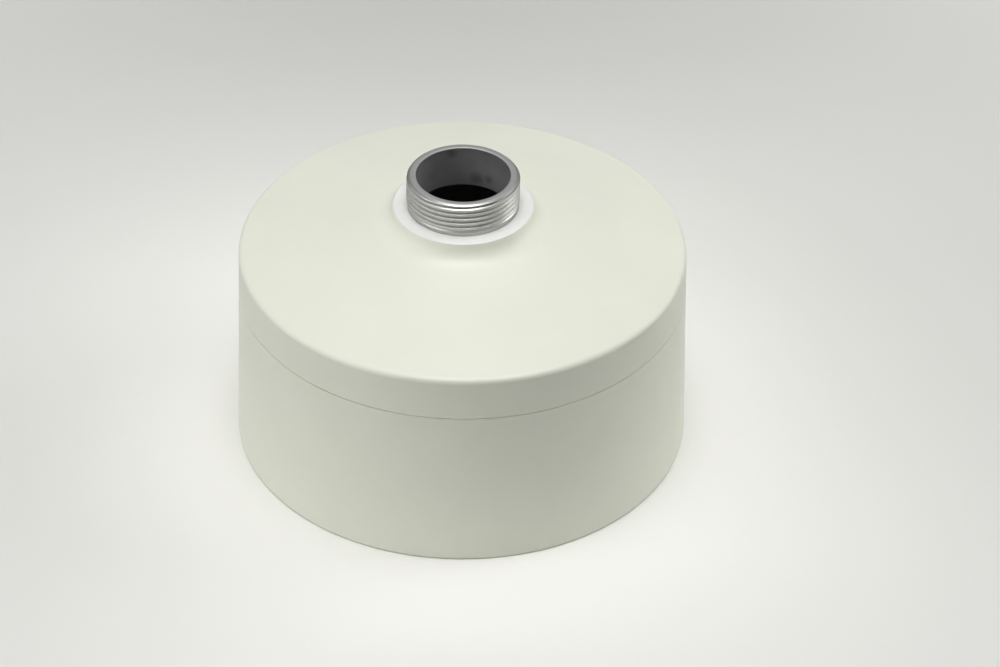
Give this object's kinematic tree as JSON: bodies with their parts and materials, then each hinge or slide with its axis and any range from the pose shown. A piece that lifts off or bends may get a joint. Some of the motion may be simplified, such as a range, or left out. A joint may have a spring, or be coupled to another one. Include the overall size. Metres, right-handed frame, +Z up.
{
  "type": "camera pendant mount",
  "caption": "Round drum-shaped pendant mount for a security camera, with a cone roof, a threaded pipe nipple on top and a recessed camera plate inside its open bottom.",
  "frame": {"origin": "centre of the open bottom rim, on the surface that the mount stands on", "axes": "+Z up along the drum's and the pipe thread's axis, out of the nipple; +X through one of the camera plate's four screws"},
  "size_m": [0.1958, 0.1956, 0.1281],
  "materials": {
    "cream_coat": "satin cream-white powder coat",
    "bare_steel": "bare machined metal",
    "white_nylon": "white, matte",
    "black_rubber": "black, matte",
    "zinc_steel": "zinc plated"
  },
  "bodies": {
    "root": {"top_cap": "cream_coat", "drum_housing": "cream_coat", "pipe_nipple": "bare_steel", "thread_washer": "white_nylon", "nipple_seal": "black_rubber", "seam_gasket": "black_rubber", "cable_grommet": "black_rubber", "camera_plate": "zinc_steel", "ground_washer": "zinc_steel", "ground_screw": "zinc_steel", "tether_eye": "zinc_steel", "housing_screw_1": "zinc_steel", "plate_screw_1": "zinc_steel", "camera_nut_1": "zinc_steel", "housing_screw_2": "zinc_steel", "plate_screw_2": "zinc_steel", "camera_nut_2": "zinc_steel", "housing_screw_3": "zinc_steel", "plate_screw_3": "zinc_steel", "camera_nut_3": "zinc_steel", "housing_screw_4": "zinc_steel", "plate_screw_4": "zinc_steel", "camera_nut_4": "zinc_steel"}
  },
  "joints": []
}
